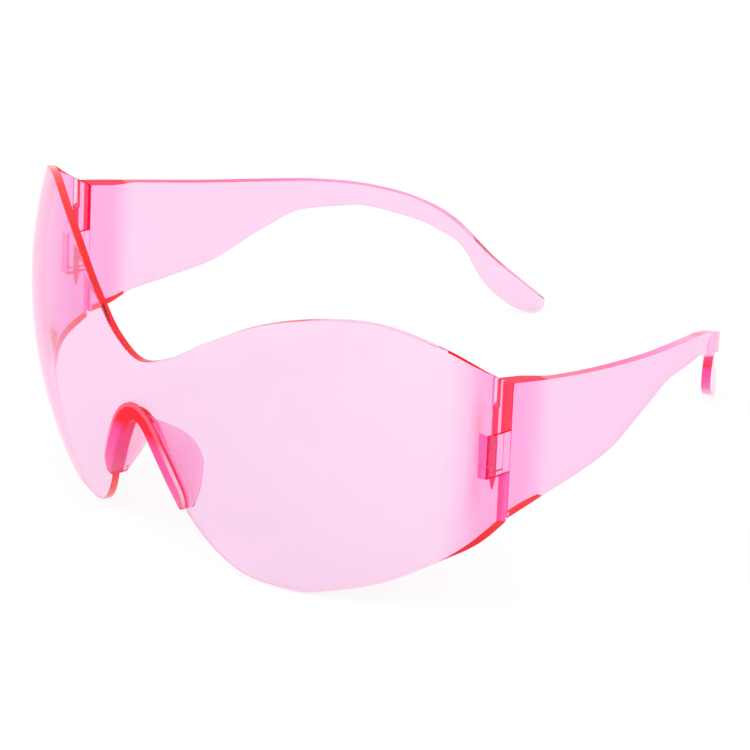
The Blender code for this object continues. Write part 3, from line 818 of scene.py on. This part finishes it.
def temple_plate():
    """The left temple without its knuckle, from the hinge end to the rounded tip."""
    rounded_from = TEMPLE_LENGTH - TIP_ROUNDING
    tip = rounded_from + TIP_ROUNDING * np.sin(np.linspace(0.0, pi / 2, TIP_COLUMNS + 1)[1:])
    arcs = np.concatenate((np.linspace(0.0, rounded_from, TEMPLE_COLUMNS), tip))
    shares = arcs / TEMPLE_LENGTH
    headings = END_TURN + np.radians(curve_through(TURN_PLACES, TURN_DEGREES, shares))
    start = END_FACE + END_BACK * JOINT_GAP
    x, y = walk(arcs, headings, start)
    tops = TEMPLE_HEIGHT * curve_through(TOP_PLACES, TOP_LEVELS, shares)
    lows = TEMPLE_HEIGHT * curve_through(LOW_PLACES, LOW_LEVELS, shares)
    thinned = ease((arcs - TEMPLE_PAD_LENGTH) / TEMPLE_PAD_RAMP)
    walls = HINGE_THICKNESS + (TEMPLE_THICKNESS - HINGE_THICKNESS) * thinned
    drawn_in = 1 - np.sqrt(1 - np.clip((arcs - rounded_from) / TIP_ROUNDING, 0.0, 1.0) ** 2)
    lows = lows + (tops - lows) * (1 - TIP_HEIGHT_SHARE) * drawn_in
    thins = walls * (1 - (1 - TIP_WALL_SHARE) * drawn_in)
    skins = (walls - thins) / 2

    def spread(place):
        low, top = along(place.x, lows), along(place.x, tops)
        height = low + (top - low) * (place.y + 1) / 2
        depth = along(place.x, skins) + along(place.x, thins) * place.z
        return Vector((along(place.x, arcs), height, depth))

    def is_end(normal, middle):
        return normal.x < -ENDWARDS and middle.x < TEMPLE_PAD_LENGTH

    def is_thick(middle):
        return middle.x < TEMPLE_PAD_LENGTH + WEDGE_RAMP_SHARE * TEMPLE_PAD_RAMP

    bm = plate(len(arcs) - 1, TEMPLE_ROWS, spread, TEMPLE_EDGE, is_end, is_thick)
    for vertex in bm.verts:
        arc, height, depth = vertex.co
        heading = np.interp(arc, arcs, headings)
        inward = Vector((-sin(heading), cos(heading), 0.0))
        vertex.co = Vector((np.interp(arc, arcs, x), np.interp(arc, arcs, y), height)) + inward * depth
    bmesh.ops.recalc_face_normals(bm, faces=bm.faces)
    return bm


def knuckle(side):
    """The block that fills the shield's slot: flat sides, and a round nose ahead of the axis."""
    outer = -(AXIS_DEPTH - KNUCKLE_INSET)
    inner = HINGE_THICKNESS - AXIS_DEPTH - KNUCKLE_INSET
    root = AXIS_SETBACK + JOINT_GAP + KNUCKLE_ROOT
    low = SLOT_BOTTOM + KNUCKLE_GAP
    tall = SLOT_TOP - KNUCKLE_GAP - low
    bm = bmesh.new()
    bmesh.ops.create_circle(bm, cap_ends=True, radius=1.0, segments=ROUND_STEPS)
    for vertex in bm.verts:
        forward, across = -vertex.co.x, vertex.co.y
        if forward < -SAME_LEVEL:
            back, across = root, copysign(1.0, across)
        else:
            back = -KNUCKLE_REACH * max(0.0, forward) ** KNUCKLE_ROUNDING_SHARE
            across = copysign(abs(across) ** KNUCKLE_ROUNDING_SHARE, across)
        vertex.co = Vector((back, (outer + inner) / 2 + (inner - outer) / 2 * across, low))
    bmesh.ops.remove_doubles(bm, verts=bm.verts, dist=SAME_KNUCKLE_PLACE)
    whole = bm.verts[:] + bm.edges[:] + bm.faces[:]
    raised = bmesh.ops.extrude_face_region(bm, geom=whole, use_keep_orig=True)
    top = [item for item in raised["geom"] if isinstance(item, bmesh.types.BMVert)]
    bmesh.ops.translate(bm, vec=(0.0, 0.0, tall), verts=top)
    bmesh.ops.recalc_face_normals(bm, faces=bm.faces)
    level = [e for e in bm.edges if abs(e.verts[0].co.z - e.verts[1].co.z) < SAME_LEVEL]
    crisp = [e for e in level if e.calc_face_angle(0.0) > KNUCKLE_CORNER_ANGLE]
    bmesh.ops.bevel(
        bm, geom=crisp, offset=KNUCKLE_EDGE, segments=KNUCKLE_EDGE_STEPS, profile=0.5, affect="EDGES",
        material=-1,
    )
    bm.normal_update()
    for face in bm.faces:
        face.smooth = True
        # Slanting faces round the top and the bottom take the painted red glow
        slanting = KNUCKLE_RIM_FROM < abs(face.normal.z) < KNUCKLE_RIM_TO
        face.material_index = RED_EDGE if slanting else CLEAR
    return piece_of("knuckle", on_side(at_hinge(bm), side), TEMPLE_LOOKS)


def make_temple(name, side):
    temple = piece_of("clear_" + name, on_side(temple_plate(), side), TEMPLE_LOOKS)
    combine(temple, knuckle(side), "UNION")
    combine(temple, bore_cutter(side), "DIFFERENCE")
    stand(temple)
    smooth(temple, PLATE_SHARP_ANGLE)
    put(temple, name, name)


# Screws


def screw_body():
    """Head and core, without the thread."""
    top = SCREW_HEAD_TOP
    under = top - SCREW_HEAD_HEIGHT
    end = top - SCREW_LENGTH
    chamfer = SCREW_HEAD_RADIUS - SCREW_SHANK_RADIUS
    core = SCREW_SHANK_RADIUS - THREAD_DEPTH
    return turned_body(
        [
            (0.0, top),
            (SCREW_HEAD_RADIUS - chamfer, top),
            (SCREW_HEAD_RADIUS - chamfer / 3, top - chamfer / 3),
            (SCREW_HEAD_RADIUS, top - chamfer),
            (SCREW_HEAD_RADIUS, under + chamfer),
            (SCREW_SHANK_RADIUS, under),
            (core, under - chamfer),
            (core, end + SCREW_POINT_LENGTH),
            (SCREW_POINT_RADIUS, end),
            (0.0, end),
        ],
        ROUND_STEPS,
    )


def add_thread(bm):
    """A ridge wound round the core, drawn in towards the point."""
    start = SCREW_HEAD_TOP - SCREW_HEAD_HEIGHT - THREAD_PITCH
    end = SCREW_HEAD_TOP - SCREW_LENGTH
    turns = (start - end) / THREAD_PITCH - 1
    core = SCREW_SHANK_RADIUS - THREAD_DEPTH
    sunk = core * THREAD_SINK_SHARE
    foot = THREAD_PITCH * THREAD_FOOT_SHARE
    crest = foot * THREAD_CREST_SHARE
    section = [(sunk, foot), (SCREW_SHANK_RADIUS, crest), (SCREW_SHANK_RADIUS, -crest), (sunk, -foot)]
    ring = [bm.verts.new((radius, 0.0, start + height)) for radius, height in section]
    edges = [bm.edges.new(pair) for pair in zip(ring, ring[1:] + ring[:1])]
    steps = int(turns * THREAD_STEPS)
    spun = bmesh.ops.spin(
        bm, geom=ring + edges, cent=(0, 0, 0), axis=(0, 0, 1), angle=2 * pi * turns, steps=steps,
        dvec=(0.0, 0.0, -THREAD_PITCH * turns / steps),
    )
    last = [item for item in spun["geom_last"] if isinstance(item, bmesh.types.BMEdge)]
    bmesh.ops.edgeloop_fill(bm, edges=edges)
    bmesh.ops.edgeloop_fill(bm, edges=last)
    drawn_from = end + SCREW_POINT_LENGTH
    for vertex in bm.verts:
        if vertex.co.z < drawn_from:
            away = Vector((vertex.co.x, vertex.co.y)).length
            share = max(0.0, (vertex.co.z - end) / SCREW_POINT_LENGTH)
            widest = SCREW_POINT_RADIUS + (SCREW_SHANK_RADIUS - SCREW_POINT_RADIUS) * share
            if away > core * THREAD_FROM_SHARE:
                vertex.co.x *= widest / SCREW_SHANK_RADIUS
                vertex.co.y *= widest / SCREW_SHANK_RADIUS


def make_screw(name, side):
    bm = screw_body()
    bmesh.ops.recalc_face_normals(bm, faces=bm.faces)
    screw = piece_of("threaded_" + name, bm, [steel])
    across = SCREW_HEAD_RADIUS + CUT_OVERRUN
    low = (-across, -SCREW_SLOT_WIDTH / 2, SCREW_HEAD_TOP - SCREW_SLOT_DEPTH)
    high = (across, SCREW_SLOT_WIDTH / 2, SCREW_HEAD_TOP + CUT_OVERRUN)
    combine(screw, piece_of("driver_slot", box(low, high), [steel]), "DIFFERENCE")
    bm = bmesh.new()
    bm.from_mesh(screw.data)
    add_thread(bm)
    bmesh.ops.recalc_face_normals(bm, faces=bm.faces)
    bmesh.ops.translate(bm, vec=(side * AXIS_PLACE.x, AXIS_PLACE.y, 0.0), verts=bm.verts)
    bm.to_mesh(screw.data)
    bm.free()
    stand(screw)
    smooth(screw, SCREW_SHARP_ANGLE)
    put(screw, "front", name)


# Nose piece


def saddle_section(share):
    """The section as (towards the shield, depth) pairs, with the slot for the shield's edge."""
    narrowed = float(curve_through(GRIP_PLACES, GRIP_LEVELS, share))
    grip = SADDLE_GRIP * narrowed
    rear_grip = SADDLE_REAR_GRIP * narrowed
    reach = PAD_REACH * float(curve_through(PAD_PLACES, PAD_LEVELS, share))
    front = -SADDLE_GAP - SADDLE_FRONT_LIP
    slot_rear = SHIELD_THICKNESS + SADDLE_GAP
    rear = slot_rear + SADDLE_REAR_LIP
    wall = SADDLE_WALL * float(curve_through(WALL_PLACES, WALL_LEVELS, share))
    nose_side = -SADDLE_GAP - wall
    edge = SADDLE_EDGE
    root = nose_side + PAD_THICKNESS
    rim_lean = PAD_FLARE_SHARE * (reach - slot_rear)
    rim_nose = nose_side + rim_lean
    rim_far = rim_nose + PAD_RIM_THICKNESS
    halfway = (rear + reach) / 2
    return [
        (nose_side, front + 2 * edge),
        (nose_side + edge / 3, front + edge / 2),
        (nose_side + edge, front),
        (grip - edge, front),
        (grip - edge / 3, front + edge / 3),
        (grip, front + edge),
        (grip, -SADDLE_GAP),
        (-SADDLE_GAP, -SADDLE_GAP),
        (-SADDLE_GAP, slot_rear),
        (rear_grip, slot_rear),
        (rear_grip, rear - edge),
        (rear_grip - edge / 2, rear),
        (min(root, rear_grip - edge), rear + edge / 4),
        ((root + rim_far) / 2, halfway),
        (rim_far, reach - edge),
        (rim_far - edge, reach),
        (rim_nose + edge, reach),
        (rim_nose, reach - edge),
        ((nose_side + rim_nose) / 2, halfway),
        (nose_side, slot_rear),
    ]


# Corners of that section, by number: round the slot, and round the faces with looks of their own, which are
# a painted glow on the front, a painted dark outline on the pads' far edges and a painted highlight on the
# ridge
SLOT_CORNERS = {6, 7, 8, 9}
FRONT_CORNERS = {19, 0, 1, 2, 3}
PAD_EDGE_CORNERS = {15, 16}
HIGHLIGHT_RIDGE_CORNERS = {3, 4, 5}


def notch_path():
    """Points (arc, height) down the left edge of the nose notch, with the direction into the shield."""
    arcs = np.linspace(0.0, HALF_ARC * NOTCH_END_SHARE, PATH_STEPS)
    heights = lower_line(arcs)
    travelled = np.concatenate(([0.0], np.cumsum(np.hypot(np.diff(arcs), np.diff(heights)))))
    wanted = np.linspace(0.0, SADDLE_LEG_LENGTH, SADDLE_STEPS + 1)
    arc = np.interp(wanted, travelled, arcs)
    height = np.interp(wanted, travelled, heights)
    along_arc = np.gradient(arc)
    along_height = np.gradient(height)
    along_height[0] = 0.0
    size = np.hypot(along_arc, along_height)
    return arc, height, -along_height / size, along_arc / size


def saddle_body():
    """The section drawn along the notch edge, up one leg and down the other."""
    arcs, heights, into_arc, into_height = notch_path()

    def place(station, corner):
        n = abs(station)
        side = -1.0 if station < 0 else 1.0
        across, depth = sections[n][corner]
        arc = side * (arcs[n] + across * into_arc[n])
        return shield_point(arc, heights[n] + across * into_height[n], depth)

    sections = [saddle_section(n / SADDLE_STEPS) for n in range(SADDLE_STEPS + 1)]
    bm = bmesh.new()
    corner_of = bm.verts.layers.int.new("corner")
    crease = bm.edges.layers.float.new("crease_edge")
    ring = [bm.verts.new(place(-SADDLE_STEPS, corner)) for corner in range(len(sections[0]))]
    for corner, vertex in enumerate(ring):
        vertex[corner_of] = corner
    first = [bm.edges.new(pair) for pair in zip(ring, ring[1:] + ring[:1])]
    edges = first
    for station in range(-SADDLE_STEPS + 1, SADDLE_STEPS + 1):
        drawn = bmesh.ops.extrude_edge_only(bm, edges=edges)["geom"]
        edges = [item for item in drawn if isinstance(item, bmesh.types.BMEdge)]
        for vertex in (item for item in drawn if isinstance(item, bmesh.types.BMVert)):
            vertex.co = place(station, vertex[corner_of])
    bmesh.ops.edgeloop_fill(bm, edges=first)
    bmesh.ops.edgeloop_fill(bm, edges=edges)
    caps = [face for face in bm.faces if len(face.verts) > 4]
    bmesh.ops.triangulate(bm, faces=caps)
    for edge in bm.edges:
        near, far = edge.verts
        if near[corner_of] == far[corner_of] and near[corner_of] in SLOT_CORNERS:
            edge[crease] = 1.0
    # The front, the pads' far edges and the ridge take their painted glow, painted outline and painted
    # highlight
    for face in bm.faces:
        corners = {vertex[corner_of] for vertex in face.verts}
        groups = (FRONT_CORNERS, PAD_EDGE_CORNERS, HIGHLIGHT_RIDGE_CORNERS)
        face.material_index = next((n + 1 for n, group in enumerate(groups) if corners <= group), 0)
    bmesh.ops.recalc_face_normals(bm, faces=bm.faces)
    return bm


def make_nose_piece():
    nose = piece_of("clear_nose_piece", saddle_body(), NOSE_LOOKS)
    rounding = nose.modifiers.new("rounding", "SUBSURF")
    rounding.levels = SADDLE_ROUNDING_LEVELS
    rounding.render_levels = SADDLE_ROUNDING_LEVELS
    settle(nose)
    stand(nose)
    smooth(nose, NOSE_SHARP_ANGLE)
    put(nose, "front", "nose_piece")


# Room, light and camera


def seen_directly(tree):
    """1 for the camera, for reflections and for light through plastic; 0 for the rest."""
    path = tree.nodes.new("ShaderNodeLightPath")
    total = None
    for ray in ("Is Camera Ray", "Is Glossy Ray", "Is Transmission Ray"):
        if total is None:
            total = path.outputs[ray]
            continue
        both = tree.nodes.new("ShaderNodeMath")
        both.operation = "MAXIMUM"
        tree.links.new(total, both.inputs[0])
        tree.links.new(path.outputs[ray], both.inputs[1])
        total = both.outputs[0]
    return total


def make_floor():
    """A white floor that is lit enough to vanish, and still takes the glasses' shadow."""
    bm = bmesh.new()
    bmesh.ops.create_circle(bm, cap_ends=True, radius=FLOOR_RADIUS, segments=FLOOR_SIDES)
    material = bpy.data.materials.new("white_floor")
    material.use_nodes = True
    tree = material.node_tree
    tree.nodes.remove(tree.nodes["Principled BSDF"])
    matt = tree.nodes.new("ShaderNodeBsdfDiffuse")
    matt.inputs["Color"].default_value = colour((FLOOR_TONE, FLOOR_TONE, FLOOR_TONE))
    lit = tree.nodes.new("ShaderNodeEmission")
    share = tree.nodes.new("ShaderNodeMath")
    share.operation = "MULTIPLY"
    share.inputs[1].default_value = FLOOR_GLOW
    both = tree.nodes.new("ShaderNodeAddShader")
    tree.links.new(seen_directly(tree), share.inputs[0])
    tree.links.new(share.outputs[0], lit.inputs["Strength"])
    tree.links.new(matt.outputs[0], both.inputs[0])
    tree.links.new(lit.outputs[0], both.inputs[1])
    tree.links.new(both.outputs[0], tree.nodes["Material Output"].inputs["Surface"])
    floor = piece_of("floor", bm, [material])
    floor.data.transform(Matrix.Translation((0.0, 0.0, -FLOOR_DROP)))


def make_room():
    """White surroundings, a little dimmer for the light that they give than for what is seen."""
    world = bpy.data.worlds.new("studio")
    bpy.context.scene.world = world
    world.use_nodes = True
    tree = world.node_tree
    background = tree.nodes["Background"]
    background.inputs["Color"].default_value = colour((1.0, 1.0, 1.0))
    level = tree.nodes.new("ShaderNodeMapRange")
    level.inputs["To Min"].default_value = ROOM_LIGHT
    level.inputs["To Max"].default_value = ROOM_SEEN
    tree.links.new(seen_directly(tree), level.inputs["Value"])
    tree.links.new(level.outputs["Result"], background.inputs["Strength"])


def add_lamp(name, place, size, power):
    data = bpy.data.lights.new(name, "AREA")
    data.size = size
    data.energy = power
    lamp = bpy.data.objects.new(name, data)
    lamp.location = place
    lamp.rotation_euler = (Vector(LAMP_TARGET) - Vector(place)).to_track_quat("-Z", "Y").to_euler()
    bpy.context.scene.collection.objects.link(lamp)


def make_camera():
    """The photograph's viewpoint, first for the glasses as they were held there, then leaned with them."""
    turn, rise = CAMERA_TURN, CAMERA_RISE
    right = Vector((cos(turn), sin(turn), 0.0))
    up = Vector((-sin(turn) * sin(rise), cos(turn) * sin(rise), cos(rise)))
    back = Vector((sin(turn) * cos(rise), -cos(turn) * cos(rise), sin(rise)))
    pose = Matrix((right, up, back)).transposed().to_4x4()
    pose.translation = back * CAMERA_DISTANCE + right * CAMERA_TO_RIGHT + up * CAMERA_UP
    data = bpy.data.cameras.new("camera")
    data.sensor_width = SENSOR_WIDTH
    data.lens = SENSOR_WIDTH * FOCAL_PIXELS / PICTURE_PIXELS
    data.clip_start = CLIP_START
    camera = bpy.data.objects.new("camera", data)
    camera.matrix_world = STANDING @ Matrix.Rotation(HELD, 4, "X") @ pose
    bpy.context.scene.collection.objects.link(camera)
    bpy.context.scene.camera = camera


make_shield()
make_nose_piece()
for name, side in (("left", 1), ("right", -1)):
    make_temple(name + "_temple", side)
    make_screw(name + "_hinge_screw", side)
make_floor()
make_room()
for name, place, size, power in LAMPS:
    add_lamp(name, place, size, power)
make_camera()
bpy.context.scene.view_settings.view_transform = "Standard"
bpy.context.scene.cycles.max_bounces = LIGHT_BOUNCES
bpy.context.scene.cycles.glossy_bounces = LIGHT_BOUNCES
bpy.context.scene.cycles.transmission_bounces = LIGHT_BOUNCES
